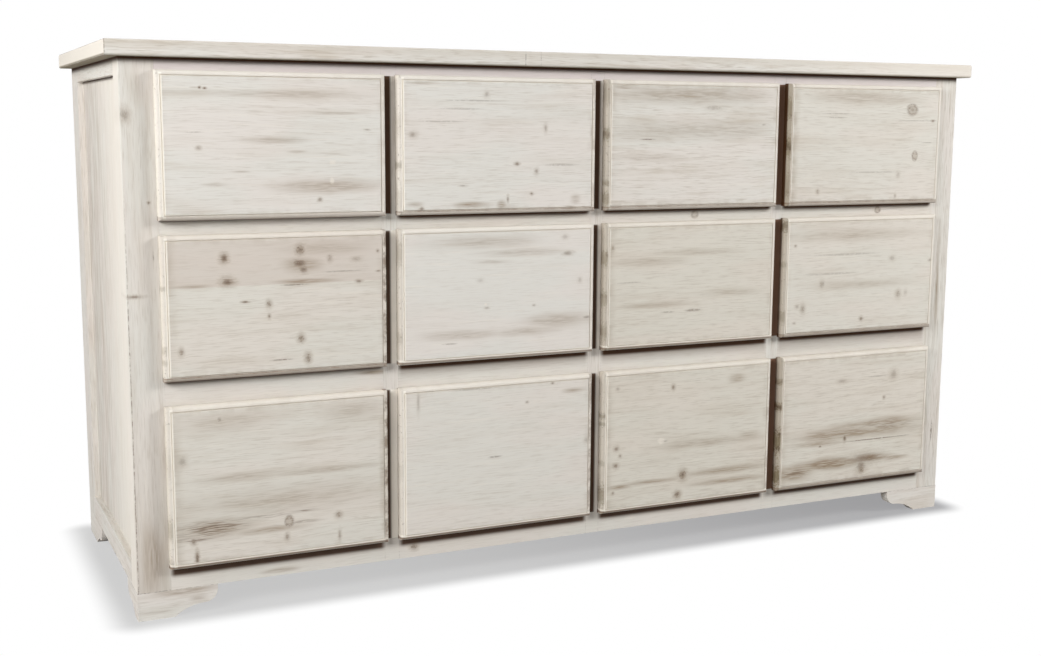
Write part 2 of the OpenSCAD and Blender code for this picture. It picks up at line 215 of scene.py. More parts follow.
class Pine(Finish):
    """Pine with its grain along one axis. u runs with the grain, v and w across it, in mm."""

    def __init__(self, name, grain, seed):
        super().__init__(bpy.data.materials.new(name))
        self.place = self.axes()
        self.seed = seed
        self.u, self.v, self.w = [self.place[i] for i in GRAIN_AXES[grain]]
        self.face = self.vector(self.u, self.v, 0.0)
        self.part_round = []

    def oval(self, u, v, long, high):
        """How far a point is from the middle of an oval: 1 on its edge."""
        scale = Vector((2 / long, 2 / high, 0.0))
        moved = Vector((-u * scale.x, -v * scale.y, 0.0))
        inputs = {"Vector": self.face, "Scale": scale, "Location": moved}
        local = self.node("ShaderNodeMapping", {"vector_type": "POINT"}, inputs)
        return self.node("ShaderNodeVectorMath", {"operation": "LENGTH"}, {0: local}, "Value")

    def part_grain(self, u, v, long, high):
        """The grain bends round a knot at (u, v): its lines spread apart there."""
        near = self.oval(u, v, long, high).over(1.0, 0.0)
        self.part_round.append((self.v - v) * near * KNOT_PUSH)

    def lumps(self, size, u, v, w, moved, detail, roughness=0.5):
        """Noise with lumps of that length and width, moved along one axis by the seed."""
        long, wide = size
        place = {"u": u / long, "v": v / wide, "w": w / wide}
        place[moved] = place[moved] + self.seed
        return self.noise(*place.values(), detail, roughness)

    def grow(self):
        """Fills in the grain: fibre, streak, band, patch, chip and hue, each from 0 to 1."""
        u, v, w = self.u, self.v, self.w
        self.patch = self.lumps(PATCH_SIZE, u, v, w, "w", 2.0)
        self.chip = self.lumps(CHIP_SIZE, u, v, w, "v", 3.0, 0.7)
        self.hue = self.lumps(HUE_SIZE, u + HUE_SHIFT * HUE_SIZE[0], v, w, "v", 1.0)
        for push in self.part_round:
            v = v - push
        bend = self.lumps(BEND_SIZE, u, v, w, "u", 1.0)
        v = v + (bend - 0.5) * BEND_ACROSS
        w = w + (bend - 0.5) * BEND_DEEP
        self.fibre = self.lumps(FIBRE_SIZE, u, v, w, "w", 2.0, 0.6)
        self.streak = self.lumps(STREAK_SIZE, u, v, w, "u", 3.0, 0.6)
        self.band = self.lumps(BAND_SIZE, u, v, w, "v", 2.0, 0.55)

    def wash(self, thin=0.5, warm=0.0):
        """The whitewash over the grain: thicker in patches, thinner along streaks."""
        colour = self.mix(self.hue.over(0.38, 0.62), WASH_COOL, WASH_WARM)
        colour = self.mix(self.streak.over(0.44, 0.30) * 0.26, colour, WASH_CREAM)
        colour = self.mix(warm, colour, WASH_AGED)
        worn = self.streak.over(0.46, 0.74) * 0.5 + self.band.over(0.46, 0.74) * 0.45
        worn = worn * (self.patch.over(0.62, 0.36) * 0.6 + 0.4) * (thin * 1.6)
        colour = self.mix(worn.lower(1.0), colour, WASH_THIN)
        return self.mix(self.fibre.over(0.48, 0.74) * (thin * 0.5 + 0.1), colour, GREY_FIBRE)

    def mark(self, colour, marks, origin=(0.0, 0.0)):
        """Adds marks: knots, rings, dark streaks, spots, lines, smears and pale rubs.

        Each is (kind, along the grain, across it, length, height, depth), in mm from the
        origin. Where two marks of one tone meet, the stronger one shows.
        """
        ragged = (self.chip - 0.5) * 1.6
        feathered = (self.streak - 0.5) * 1.7 + (self.fibre - 0.5) * 1.5
        soft = (self.streak - 0.5) * 0.9 + (self.fibre - 0.5) * 1.0 + (self.patch - 0.5) * 1.2
        broken = self.chip.over(0.28, 0.55)
        masks = {}

        def add(layer, mask):
            masks[layer] = mask.higher(masks[layer]) if layer in masks else mask

        for kind, u, v, long, high, depth in marks:
            far = self.oval(origin[0] + u, origin[1] + v, long, high)
            if kind == "knot":
                edge = far + ragged
                rind = abs(edge - 0.8).over(0.5, 0.1) * self.chip.over(0.46, 0.62)
                add("dark", rind * (depth * 0.8))
                add("dark", edge.over(0.9, 0.1) * broken * (depth * 0.8))
                add("tan", (edge + feathered * 0.8).over(2.4, 0.5) * (depth * 0.5))
            elif kind == "ring":
                edge = far + ragged * 0.45 + feathered * 0.3
                rind = abs(edge - 0.85).over(0.5, 0.05) * self.chip.over(0.36, 0.58)
                add("dark", rind * (depth * 0.7))
                add("tan", edge.over(1.5, 0.4) * (depth * 0.5))
            elif kind == "streaks":
                shape = (far + soft * 1.3).over(1.3, 0.3)
                add("dark", shape * self.fibre.over(0.42, 0.62) * depth)
                add("tan", shape * (depth * 0.35))
            elif kind == "spot":
                edge = far + ragged + feathered * 0.6
                add("dark", edge.over(1.15, 0.2) * (broken * 0.5 + 0.5) * depth)
                add("tan", (edge + feathered * 0.6).over(2.2, 0.7) * (depth * 0.5))
            elif kind == "line":
                add("dark", (far + feathered * 0.7).over(1.2, 0.3) * broken * depth)
            elif kind == "smear":
                shape = (far + soft).over(1.5, 0.15)
                add("tan", shape * (self.fibre.over(0.36, 0.6) * 0.5 + 0.5) * depth)
            elif kind == "pale":
                add("pale", (far + ragged).over(1.2, 0.4) * depth)
        for layer, tone in (("tan", TAN), ("dark", BROWN), ("pale", WASH_CREAM)):
            if layer in masks:
                colour = self.mix(masks[layer], colour, tone)
        return colour

    def grained_surface(self, colour):
        """The finished material: that colour, dull, with the grain in light relief."""
        height = self.fibre * 0.6 + self.streak * 0.4
        inputs = {"Strength": 0.6, "Distance": RELIEF * MM, "Height": height}
        normal = self.node("ShaderNodeBump", {}, inputs)
        return self.surface(colour, self.streak * 0.2 + 0.65, normal)


def washed(name, grain, seed, thin=0.5, warm=0.0, seams=(), marks=(), stains=(), extra=None):
    """The whitewashed pine of the case.

    A seam is (axis, place, depth), a dark hairline where two pieces meet. A stain is
    (axis, clean at, darkest at, depth, tone). extra changes the colour once more.
    """
    pine = Pine(name, grain, seed)
    pine.grow()
    colour = pine.mark(pine.wash(thin, warm), marks)
    if extra:
        colour = extra(pine, colour)
    for axis, place, depth in seams:
        near = abs(pine.place["XYZ".index(axis)] - place).over(1.1, 0.3)
        colour = pine.mix(near * pine.chip.over(0.40, 0.60) * depth, colour, DARK_BROWN)
    for axis, clean, dark, depth, tone in stains:
        share = pine.place["XYZ".index(axis)].over(clean, dark) * depth
        colour = pine.mix(share, colour, tone)
    return pine.grained_surface(colour)


def bare(name, grain, seed):
    """Unwashed pine, inside the case and on the drawer boxes."""
    pine = Pine(name, grain, seed)
    pine.grow()
    colour = pine.mix(pine.band.over(0.35, 0.65) * 0.6, BARE_PINE, BARE_STREAK)
    colour = pine.mix(pine.streak.over(0.45, 0.7) * 0.8, colour, BARE_STREAK)
    colour = pine.mix(pine.fibre.over(0.5, 0.75) * 0.35, colour, TAN)
    return pine.grained_surface(colour)


# ------------------------------------------------------------------ drawer fronts

# A front's edge, in mm inwards: the round, then the ridge up to BEAD, the quirk, the field
ROUND = 5.5
BEAD = 7.1
QUIRK = 1.6
FIELD = BEAD + QUIRK


class Front:
    """How one drawer front is washed and marked. Marks are from its lower left corner, in mm.

    lip is how grey its left lip is, partly stain and partly painted shade, lip_blots its stains as
    (height, length, depth). right is how worn the right ridge is, and under how brown the lower lip,
    partly stain and partly painted shade. From the height upper_board on, a front is a second, redder board.
    """

    def __init__(self, thin, warm, lip, right, under, marks, lip_blots=(), upper_board=None):
        self.thin = thin
        self.warm = warm
        self.lip = lip
        self.right = right
        self.under = under
        self.marks = marks
        self.lip_blots = lip_blots
        self.upper_board = upper_board


FRONTS = {
    "r1c1": Front(0.35, 0.0, 0.0, 0.1, 0.6, (
        ("spot", 67, 204, 4, 3, 0.9), ("spot", 75, 203, 5, 3, 0.9), ("smear", 59, 204, 14, 3, 0.4),
        ("knot", 63, 112, 7, 5, 0.7), ("line", 55, 136, 31, 2, 0.35), ("smear", 291, 167, 74, 5, 0.4),
        ("spot", 336, 141, 10, 2.5, 0.45), ("smear", 219, 106, 29, 4, 0.5), ("smear", 128, 75, 32, 4, 0.4),
        ("smear", 179, 124, 100, 11, 0.4), ("pale", 277, 89, 13, 8, 0.5), ("pale", 276, 59, 8, 11, 0.6),
        ("smear", 272, 51, 184, 22, 0.6), ("smear", 87, 55, 47, 8, 0.4), ("spot", 255, 29, 7, 6, 0.6),
        ("smear", 177, 196, 350, 12, 0.4),
    )),
    "r1c2": Front(0.4, 0.0, 0.05, 0.3, 0.55, (
        ("spot", 158, 201, 9, 10, 0.35), ("line", 142, 190, 120, 3, 0.4), ("line", 113, 176, 83, 3, 0.4),
        ("line", 73, 155, 100, 3, 0.35), ("spot", 269, 144, 6, 14, 0.4), ("spot", 25, 133, 14, 10, 0.45),
        ("spot", 215, 84, 8, 6, 0.65), ("spot", 252, 71, 8, 10, 0.5), ("line", 297, 82, 78, 5, 0.35),
        ("spot", 243, 33, 6, 5, 0.7), ("spot", 115, 48, 13, 3, 0.4), ("smear", 28, 18, 32, 10, 0.6),
        ("smear", 127, 16, 63, 10, 0.9), ("smear", 186, 15, 17, 15, 0.7), ("spot", 198, 24, 4, 10, 0.6),
        ("smear", 328, 22, 20, 18, 0.5), ("spot", 320, 7, 12, 4, 0.9), ("spot", 40, 10, 7, 7, 0.8),
        ("spot", 185, 7, 9, 7, 0.7), ("smear", 361, 137, 10, 42, 0.5), ("smear", 38, 217, 60, 5, 0.5),
    ), lip_blots=((83, 14, 0.8), (24, 50, 0.35), (150, 40, 0.3))),
    "r1c3": Front(0.6, 0.05, 0.65, 0.1, 0.65, (
        ("smear", 169, 205, 340, 32, 0.6), ("smear", 34, 217, 36, 9, 0.6), ("knot", 221, 183, 30, 8, 0.4),
        ("line", 82, 126, 37, 2.5, 0.8), ("smear", 171, 143, 320, 36, 0.4), ("spot", 332, 153, 9, 3, 0.4),
        ("smear", 88, 93, 145, 16, 0.3),
    ), lip_blots=((135, 22, 0.6), (49, 12, 0.5), (21, 26, 0.6), (205, 40, 0.3))),
    "r1c4": Front(0.5, 0.2, 1.0, 0.0, 0.65, (
        ("ring", 294, 184, 25, 22, 0.75), ("spot", 294, 184, 13, 10, 0.4), ("ring", 305, 94, 14, 19, 0.75),
        ("knot", 265, 57, 8, 10, 0.35), ("knot", 71, 27, 7, 8, 0.5), ("spot", 260, 16, 5, 8, 0.4),
        ("spot", 347, 163, 8, 4, 0.7), ("line", 301, 163, 111, 2, 0.4), ("line", 112, 175, 81, 2.5, 0.4),
        ("line", 108, 168, 57, 2.5, 0.4), ("line", 337, 120, 31, 2.5, 0.4), ("line", 208, 63, 123, 2.5, 0.4),
        ("smear", 163, 205, 265, 23, 0.4),
    ), lip_blots=((185, 44, 0.5), (112, 46, 0.6), (40, 50, 0.3))),
    "r2c1": Front(0.45, 0.2, 0.1, 0.7, 0.9, (
        ("spot", 98, 193, 12, 14, 0.85), ("spot", 102, 155, 21, 13, 0.85), ("knot", 221, 202, 14, 14, 1.0),
        ("spot", 219, 181, 24, 12, 0.8), ("spot", 226, 170, 15, 10, 0.7), ("smear", 224, 178, 66, 24, 0.7),
        ("knot", 270, 187, 8, 11, 0.5), ("knot", 315, 184, 15, 7, 0.45),
        ("spot", 352, 196, 5, 5, 0.6), ("spot", 353, 163, 7, 3, 0.6), ("line", 294, 165, 85, 3, 0.5),
        ("line", 210, 146, 56, 3, 0.7), ("smear", 228, 151, 100, 8, 0.8), ("smear", 47, 150, 56, 6, 0.5),
        ("spot", 319, 147, 9, 5, 0.6), ("spot", 130, 122, 11, 3, 0.9), ("knot", 168, 117, 8, 10, 0.8),
        ("spot", 168, 97, 5, 7, 0.6), ("knot", 220, 58, 10, 12, 0.9), ("knot", 231, 25, 9, 15, 0.8),
        ("line", 187, 25, 43, 3, 0.7), ("knot", 27, 48, 7, 11, 0.7), ("smear", 271, 203, 135, 23, 0.4),
    ), lip_blots=((148, 9, 0.6), (50, 15, 0.5), (31, 10, 0.5)), upper_board=148),
    "r2c2": Front(0.15, 0.0, 0.3, 0.1, 0.9, (
        ("smear", 155, 205, 205, 27, 0.5), ("smear", 221, 185, 172, 14, 0.4), ("smear", 168, 170, 68, 7, 0.3),
        ("spot", 314, 180, 18, 7, 0.5), ("spot", 309, 209, 12, 9, 0.25), ("spot", 147, 139, 11, 7, 0.2),
        ("spot", 339, 132, 8, 9, 0.25), ("spot", 159, 91, 8, 4, 0.4), ("pale", 157, 97, 6, 4, 0.7),
        ("spot", 249, 91, 6, 4, 0.4), ("smear", 230, 46, 116, 16, 0.4), ("smear", 300, 64, 139, 25, 0.5),
        ("spot", 354, 64, 18, 5, 0.5), ("line", 90, 32, 26, 3, 0.4), ("smear", 109, 47, 167, 17, 0.4),
    ), lip_blots=((190, 46, 0.5), (47, 26, 0.35))),
    "r2c3": Front(0.5, 0.35, 0.65, 0.0, 0.9, (
        ("smear", 92, 158, 168, 18, 0.45), ("smear", 199, 173, 196, 15, 0.4), ("spot", 15, 186, 6, 9, 0.5),
        ("line", 51, 122, 62, 3, 0.35), ("line", 187, 65, 35, 6, 0.6), ("line", 133, 64, 30, 4, 0.45),
        ("smear", 279, 95, 135, 15, 0.4), ("smear", 105, 79, 148, 11, 0.4),
    ), lip_blots=((168, 30, 0.6), (94, 30, 0.5), (35, 32, 0.5))),
    "r2c4": Front(0.4, 0.25, 0.65, 0.0, 0.9, (
        ("smear", 153, 194, 340, 27, 0.4), ("line", 143, 157, 170, 5, 0.35), ("spot", 24, 177, 6, 5, 0.5),
        ("spot", 260, 145, 13, 10, 0.35), ("spot", 358, 138, 8, 5, 0.5), ("knot", 90, 100, 11, 13, 0.55),
        ("knot", 279, 73, 11, 13, 0.6), ("knot", 298, 75, 8, 10, 0.3), ("knot", 46, 54, 10, 16, 0.6),
        ("spot", 33, 59, 9, 8, 0.35), ("spot", 189, 27, 9, 9, 0.65), ("spot", 27, 27, 7, 4, 0.4),
        ("line", 109, 120, 145, 5, 0.3), ("smear", 208, 96, 224, 20, 0.4),
    ), lip_blots=((215, 26, 0.7), (141, 12, 0.4), (40, 26, 0.5))),
    "r3c1": Front(0.5, 0.2, 0.15, 0.7, 1.0, (
        ("knot", 84, 240, 7, 8, 0.6), ("smear", 95, 235, 170, 34, 0.4), ("smear", 310, 236, 115, 36, 0.4),
        ("smear", 362, 130, 20, 250, 0.4), ("smear", 110, 142, 150, 18, 0.6),
        ("smear", 248, 140, 188, 12, 0.5), ("smear", 185, 100, 360, 56, 0.35),
        ("spot", 23, 177, 14, 16, 0.4), ("smear", 70, 62, 130, 40, 0.75), ("streaks", 62, 61, 125, 34, 0.75),
        ("streaks", 42, 47, 80, 12, 0.8), ("streaks", 150, 72, 120, 9, 0.4),
        ("smear", 158, 49, 133, 12, 0.7), ("spot", 42, 15, 6, 25, 0.8), ("spot", 37, 44, 9, 10, 0.7),
        ("ring", 194, 59, 15, 19, 0.8), ("streaks", 219, 74, 60, 7, 0.6), ("streaks", 215, 56, 70, 10, 0.5),
        ("spot", 190, 33, 7, 14, 0.5), ("knot", 279, 60, 10, 9, 0.7), ("spot", 280, 25, 5, 16, 0.45),
        ("smear", 162, 99, 299, 20, 0.5),
    ), lip_blots=((67, 36, 0.6), (8, 18, 0.6), (170, 60, 0.2))),
    "r3c2": Front(0.3, 0.1, 0.1, 0.5, 1.0, (
        ("spot", 32, 241, 5, 33, 0.3), ("line", 139, 255, 113, 3, 0.45), ("spot", 287, 254, 6, 4, 0.6),
        ("smear", 328, 238, 44, 9, 0.6), ("spot", 237, 224, 5, 4, 0.5), ("knot", 357, 144, 9, 10, 0.4),
        ("line", 174, 131, 27, 4, 0.55), ("spot", 361, 63, 6, 11, 0.3),
    ), lip_blots=((120, 30, 0.25),)),
    "r3c3": Front(0.55, 0.35, 0.4, 0.3, 1.0, (
        ("spot", 148, 227, 7, 10, 0.6), ("smear", 289, 234, 36, 19, 0.6), ("spot", 30, 233, 8, 7, 0.35),
        ("spot", 29, 121, 10, 9, 0.6), ("spot", 28, 89, 11, 8, 0.7), ("spot", 37, 107, 6, 6, 0.5),
        ("pale", 124, 127, 17, 13, 0.6), ("line", 130, 126, 20, 4, 0.4), ("knot", 173, 57, 15, 17, 1.0),
        ("spot", 173, 57, 10, 12, 0.5), ("knot", 162, 20, 13, 12, 1.0), ("smear", 102, 51, 151, 10, 0.9),
        ("smear", 38, 48, 63, 11, 0.9), ("smear", 268, 56, 206, 12, 0.6), ("smear", 280, 35, 184, 10, 0.6),
        ("smear", 232, 115, 248, 18, 0.5), ("smear", 318, 120, 60, 18, 0.5), ("spot", 23, 38, 6, 6, 0.5),
    ), lip_blots=((184, 12, 0.7), (169, 9, 0.6), (95, 12, 0.4), (36, 44, 0.8))),
    "r3c4": Front(0.6, 0.3, 0.85, 0.1, 1.0, (
        ("smear", 42, 31, 96, 30, 0.8), ("streaks", 45, 32, 90, 22, 0.35),
        ("streaks", 205, 46, 130, 22, 0.5), ("streaks", 270, 112, 190, 18, 0.3),
        ("spot", 149, 209, 22, 8, 0.35), ("spot", 278, 214, 18, 18, 0.4), ("line", 238, 213, 56, 3, 0.4),
        ("spot", 256, 168, 6, 7, 0.5), ("smear", 249, 117, 231, 17, 0.7), ("smear", 186, 102, 302, 25, 0.8),
        ("line", 251, 84, 180, 3, 0.8), ("spot", 161, 92, 8, 13, 0.8), ("spot", 101, 81, 7, 4, 0.7),
        ("smear", 88, 87, 147, 14, 0.6), ("smear", 127, 43, 223, 23, 1.0), ("smear", 227, 47, 102, 21, 1.0),
        ("spot", 215, 45, 70, 20, 0.55), ("spot", 205, 33, 24, 26, 0.6), ("knot", 206, 22, 13, 13, 0.9),
        ("smear", 292, 40, 68, 11, 0.7), ("smear", 55, 34, 87, 20, 0.8),
    ), lip_blots=((218, 14, 0.6), (169, 20, 0.8), (100, 52, 0.9), (30, 40, 0.9))),
}

UPPER_BOARD = paint(204, 191, 181)
LIP_GREY = paint(158, 146, 128)
LIP_BROWN = paint(120, 98, 80)

# How grey the field is along the left edge, and where the left side is painted black as shade: from, to, how
# much
LEFT_MARGINS = {"r1c3": 0.15, "r1c4": 0.5, "r2c1": 0.25, "r2c3": 0.3, "r3c1": 0.3, "r3c3": 0.2, "r3c4": 0.2}
BLACK_SIDES = {"r1c4": (5.0, 9.0, 0.95), "r2c4": (9.0, 13.0, 0.8), "r3c4": (10.5, 14.0, 0.6)}

# How dark the line along the top of the lower lip is, on the fronts that have one
LIP_LINES = {"r1c1": 0.15, "r1c2": 0.7, "r1c3": 0.7, "r1c4": 0.75, "r2c1": 0.75, "r2c4": 0.6, "r3c4": 0.5}

# How much longer and higher than a knot the bend in the grain round it is
KNOT_LONGER = 4.4
KNOT_HIGHER = 3.2

# In mm: the lumps of small chips and of large blots, the width of the grey band round the field,
# where the grey left margin ends and is full, the lines along the lower lip, and how far
# behind its face a front meets the case
CHIPS_SIZE = 5
BLOTS_SIZE = 24
EDGE_GREY_WIDTH = 12
MARGIN_END = 28
MARGIN_FULL = 11
LIP_LINE_HEIGHT = 6.0
LIP_LIGHT_HEIGHT = 7.6
JOINT_START = 12.0
JOINT_FULL = 15.5


class FrontPine(Pine):
    """A drawer front's own pine. left, right and bottom are how far inside that edge it is."""

    def __init__(self, name, look, seed):
        super().__init__(f"front_{name}", "X", seed)
        self.name = name
        self.look = look
        low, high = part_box(f"drawer_front_{name}")
        self.corner = (low.x / MM, low.z / MM)
        for kind, u, v, long, tall, depth in look.marks:
            if kind in ("knot", "ring"):
                u, v = self.corner[0] + u, self.corner[1] + v
                self.part_grain(u, v, long * KNOT_LONGER, tall * KNOT_HIGHER)
        self.grow()
        x, y, z = self.place
        self.left = x - low.x / MM
        self.right = high.x / MM - x
        self.bottom = z - low.z / MM
        self.rim = self.left.lower(self.right).lower(self.bottom.lower(high.z / MM - z))
        self.behind = y - low.y / MM
        self.at_left = self.left.over(ROUND + 2.0, ROUND - 0.5)
        self.chips = self.noise(x / CHIPS_SIZE, y / CHIPS_SIZE + seed, z / CHIPS_SIZE, 3.0, 0.7)
        self.blots = self.noise(x / BLOTS_SIZE, y / BLOTS_SIZE + seed, z / BLOTS_SIZE, 2.0)
        self.breaks = self.blots.over(0.42, 0.58) * 0.5 + self.chips.over(0.40, 0.60) * 0.5

    def field(self):
        """The field's one or two boards and their marks, and a blotchy grey band along its edges."""
        look = self.look
        colour = self.wash(look.thin, look.warm)
        if look.upper_board:
            above = (self.bottom - look.upper_board).over(-0.6, 0.6)
            colour = self.mix(above * 0.5, colour, UPPER_BOARD)
        colour = self.mark(colour, look.marks, self.corner)
        # A grey band, in blotches, round the field's edges
        dark_band = self.rim.over(FIELD + EDGE_GREY_WIDTH, FIELD) * self.blots.over(0.42, 0.68)
        colour = self.mix(dark_band * (look.thin * 0.5), colour, GREY_FIBRE)
        edge = self.rim.over(BEAD + 0.4, BEAD - 0.4)
        colour = self.mix(edge * 0.6, colour, WASH_CREAM)
        margin = self.left.over(MARGIN_END, MARGIN_FULL) * self.left.over(FIELD + 1.0, FIELD + 2.5)
        margin = margin * (self.blots.over(0.35, 0.60) * 0.5 + 0.5)
        return self.mix(margin * LEFT_MARGINS.get(self.name, 0.0), colour, GREY_FIBRE)

    def left_lip(self, colour):
        """The left lip is grey, partly stain and partly painted shade, with olive stains, dirt in the stains,
        and brown flecks.
        """
        grey = self.look.lip
        colour = self.mix(self.at_left * ((grey * 0.9 + 0.1) * 0.8), colour, LIP_GREY)
        for height, long, depth in self.look.lip_blots:
            far = abs(self.bottom - height) * (2 / long) + (self.chips - 0.5) * 3.2
            strength = depth * (grey * 0.5 + 0.5)
            colour = self.mix(self.at_left * far.over(1.3, 0.3) * strength, colour, OLIVE)
            dirt = self.at_left * far.over(1.0, 0.0) * self.blots.over(0.50, 0.60)
            colour = self.mix(dirt * (strength * grey * 0.9), colour, DARK_BROWN)
        flecks = self.at_left * self.chips.over(0.60, 0.68)
        return self.mix(flecks * 0.45, colour, BROWN)

    def ridge(self, colour):
        """The ridge is cream, with a painted highlight at the left; its quirk is painted pale against the
        groove's own shade, and at the right the ridge is worn brown.
        """
        worn = self.look.right
        # The quirk is painted pale to lighten its own shade
        quirk = abs(self.rim - (BEAD + QUIRK / 2)).over(QUIRK * 0.95, QUIRK * 0.3)
        colour = self.mix(quirk * 0.8, colour, WASH_CREAM)
        # A painted highlight along the left ridge, weaker where the left lip is grey
        bright = self.left.over(BEAD - 2.4, BEAD - 1.0) * self.left.over(FIELD + 2.4, FIELD + 0.9)
        bright = bright * self.rim.over(BEAD - 4.0, BEAD - 2.5)
        colour = self.mix(bright * (0.9 - self.look.lip * 0.85), colour, PAINTED_LIGHT)
        dark_quirk = self.right.over(FIELD + 0.6, FIELD - 0.4) * quirk * self.breaks
        colour = self.mix(dark_quirk * (worn * 0.3), colour, BROWN)
        broad = (self.chips * 0.3 + self.blots * 0.7).over(0.40, 0.60)
        colour = self.mix(self.right.over(BEAD + 0.6, BEAD - 1.2) * broad * worn, colour, LIP_BROWN)
        fine = (self.chips * 0.5 + self.blots * 0.5).over(0.44, 0.56)
        return self.mix(self.right.over(2.2, 0.4) * fine * worn, colour, DARK_BROWN)

    def lower_lip(self, colour):
        """The lower lip's rounding is brown, partly stain and partly painted shade, with a dark line along
        its top or a painted highlight above it.
        """
        up = self.bottom
        depth = self.look.under * 0.78
        if self.name in LIP_LINES:
            shade = up.over(BEAD + 0.3, BEAD - 2.3) * (up.over(2.5, 0.5) * 0.3 + 0.7)
            colour = self.mix(shade * depth, colour, LIP_BROWN)
            line = abs(up - LIP_LINE_HEIGHT).over(1.5, 0.5) * (self.breaks * 0.4 + 0.6)
            return self.mix(line * LIP_LINES[self.name], colour, LIP_BROWN)
        # A painted highlight above the lower lip
        light = abs(up - LIP_LIGHT_HEIGHT).over(2.4, 0.8)
        colour = self.mix(light * 0.5, colour, PAINTED_LIGHT)
        shade = up.over(BEAD - 0.7, BEAD - 2.9) * (up.over(-0.5, 3.2) * 0.9 + 0.1)
        return self.mix(shade * depth, colour, LIP_BROWN)

    def sides(self, colour):
        """Painted shade where the front meets the case, and painted black shade down the left side of some
        fronts.
        """
        at_bottom = self.bottom.over(BEAD + 0.6, BEAD - 0.6)
        gap_shade = self.behind.over(JOINT_START, JOINT_FULL)
        colour = self.mix(gap_shade * (at_bottom * 0.6 + 0.35), colour, PAINTED_SHADE)
        if self.name in BLACK_SIDES:
            start, full, depth = BLACK_SIDES[self.name]
            black = self.at_left * self.behind.over(start, full) * depth
            colour = self.mix(black, colour, PAINTED_SHADE)
        return colour


def drawer_front(name, look, seed):
    """One front's material."""
    pine = FrontPine(name, look, seed)
    colour = pine.ridge(pine.left_lip(pine.field()))
    return pine.grained_surface(pine.sides(pine.lower_lip(colour)))


# ------------------------------------------------------------------ the pieces' finishes

COLUMNS = range(1, 5)
ROWS = range(1, 4)


def paint_nodes(material, *names):
    for name in names:
        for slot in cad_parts[name].material_slots:
            slot.material = material


# In mm: the lower and upper edge of the fronts in each row, a height within each of the two
# rails between the rows, the columns' pitch, and half the length of a front and a short rail
ROW_EDGES = ((641, 871), (388, 618), (83, 348))
UPPER_RAIL_Z = 630
LOWER_RAIL_Z = 368
PITCH = 390
FRONT_HALF = 184
RAIL_HALF = 182

# In mm: half the width of the case, its face, the middle of its depth, half the width of the
# slab on it, the slab's lower and upper side, and the top of the feet
CASE_X = 820
FACE_Y = -265
MIDDLE_Y = 8
SLAB_X = 842
SLAB_LOW = 890
SLAB_HIGH = 915
FOOT_TOP = 46

# A painted shadow: a dark band along the top of the pieces under the slab
SHADE_UNDER_SLAB = (("Z", SLAB_LOW - 10.5, SLAB_LOW - 1.5, 0.98, PAINTED_SHADE),)


def beside_fronts(z):
    """1 at the heights of the drawer fronts, 0 at the rails."""
    lowest, highest = ROW_EDGES[-1][0], ROW_EDGES[0][1]
    beside = z.over(lowest - 2, lowest + 1) * z.over(highest + 2, highest - 1)
    for upper_row, lower_row in zip(ROW_EDGES, ROW_EDGES[1:]):
        rail_low, rail_high = lower_row[1], upper_row[0]
        at_rail = z.over(rail_low - 4, rail_low - 1) * z.over(rail_high + 4, rail_high + 1)
        beside = beside * (1 - at_rail)
    return beside


def stile_channels(pine, colour):
    """The three stiles, seen as channels between the fronts.

    Painted shade lies beside the front at a channel's left, and all across the right channel,
    with umber over it there, warming the painted shade. Beside it the left channel, and a little
    the middle one, are painted pale as painted light in the two lower rows, and the left channel
    is a little brown in the top row, more painted shade.
    """
    x, y, z = pine.place
    in_row = beside_fronts(z)
    left = x.over(5 - PITCH / 2, -5 - PITCH / 2)
    right = x.over(PITCH / 2 - 5, PITCH / 2 + 5)
    middle = (1 - left) * (1 - right)
    lower_rows = z.over(UPPER_RAIL_Z + 1, UPPER_RAIL_Z - 1)
    above_lowest = z.over(LOWER_RAIL_Z - 1, LOWER_RAIL_Z + 1)
    pale = lower_rows * (left * 0.85 + middle * 0.3)
    colour = pine.mix(in_row * pale, colour, PAINTED_LIGHT)
    colour = pine.mix(in_row * left * (1 - lower_rows) * 0.15, colour, BROWN)

    # How far past the channel's middle the painted shade reaches, in mm
    left_reach = above_lowest * 2.5 + (1 - lower_rows) * 2.3 - 4.0
    middle_reach = 3.5 - lower_rows * 2.0
    right_reach = 15.0 - lower_rows * 3.0
    reach = left_reach * left + middle_reach * middle + right_reach * right
    across = x.math("WRAP", PITCH / 2, -PITCH / 2)
    colour = pine.mix(in_row * (across - reach).over(5, 0) * 0.95, colour, PAINTED_SHADE)
    return pine.mix(in_row * right * 0.7, colour, UMBER)


def post_stain(pine, colour):
    """The left post is browner on its front, most of all low down, and painted cream on its side, a painted
    highlight where the side faces the lamps.
    """
    x, y, z = pine.place
    front = y.over(FACE_Y + 3, FACE_Y + 1)
    colour = pine.mix((1 - front) * 0.6, colour, WASH_CREAM)
    stain = z.over(330, 90) * 0.17 + 0.06
    colour = pine.mix(front * stain * (pine.streak * 0.9 + 0.4), colour, TAN)
    crack = abs(x + CASE_X - 2).over(1.3, 0.3) * z.over(760, 420)
    return pine.mix(front * crack * pine.chip.over(0.35, 0.6) * 0.7, colour, BROWN)


